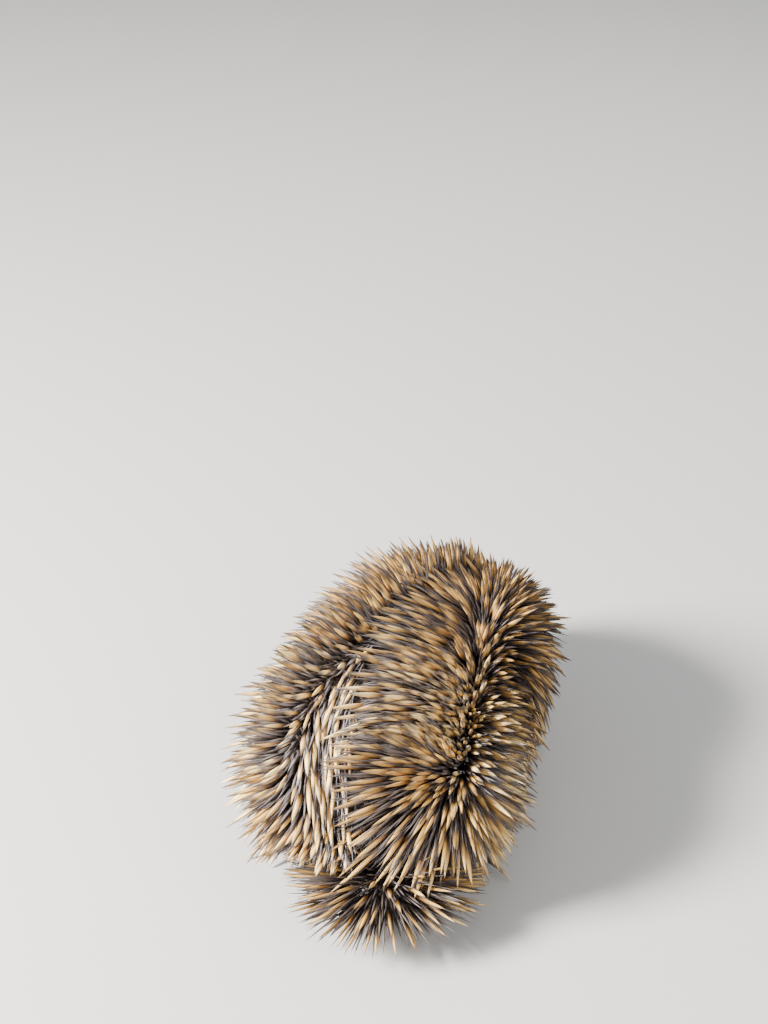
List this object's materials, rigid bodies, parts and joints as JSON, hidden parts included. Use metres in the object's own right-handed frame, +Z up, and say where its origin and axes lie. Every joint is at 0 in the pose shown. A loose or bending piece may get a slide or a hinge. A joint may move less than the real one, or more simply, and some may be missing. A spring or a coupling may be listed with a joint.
{
  "type": "echidna",
  "caption": "Life-size short-beaked echidna hunkered on the floor, with spines combed over its back, a fanned spiny tail, digging claws and a slender beak.",
  "frame": {"origin": "on the floor, under the middle of the bounding box", "axes": "+Y runs forwards along the body, from the tail to the head; +X is the animal's right; +Z is up"},
  "size_m": [0.2746, 0.4842, 0.1993],
  "materials": {
    "spiny_coat": "satin keratin spines, orange brown to cream with dark tips",
    "face_fur": "short dark brown fur",
    "beak_skin": "bare leathery dark skin, slightly moist",
    "eye": "wet dark eye",
    "ear_skin": "thin dark skin",
    "leg_fur": "coarse dark brown fur",
    "foot_skin": "dark leathery skin with sparse fur",
    "claw_horn": "worn horn, dark at the root and paler at the tip"
  },
  "bodies": {
    "root": {"torso": "spiny_coat", "neck": "spiny_coat", "tail": "spiny_coat", "head": "face_fur", "beak": "beak_skin", "eye_left": "eye", "eye_right": "eye", "ear_left": "ear_skin", "ear_right": "ear_skin", "fore_leg_left": "leg_fur", "fore_foot_left": "foot_skin", "fore_leg_right": "leg_fur", "fore_foot_right": "foot_skin", "hind_leg_left": "leg_fur", "hind_foot_left": "foot_skin", "hind_leg_right": "leg_fur", "hind_foot_right": "foot_skin", "fore_claw_left_1": "claw_horn", "fore_claw_left_2": "claw_horn", "fore_claw_left_3": "claw_horn", "fore_claw_left_4": "claw_horn", "fore_claw_left_5": "claw_horn", "fore_claw_right_1": "claw_horn", "fore_claw_right_2": "claw_horn", "fore_claw_right_3": "claw_horn", "fore_claw_right_4": "claw_horn", "fore_claw_right_5": "claw_horn", "hind_claw_left_1": "claw_horn", "hind_claw_left_2": "claw_horn", "hind_claw_left_3": "claw_horn", "hind_claw_left_4": "claw_horn", "hind_claw_left_5": "claw_horn", "hind_claw_right_1": "claw_horn", "hind_claw_right_2": "claw_horn", "hind_claw_right_3": "claw_horn", "hind_claw_right_4": "claw_horn", "hind_claw_right_5": "claw_horn"}
  },
  "joints": []
}
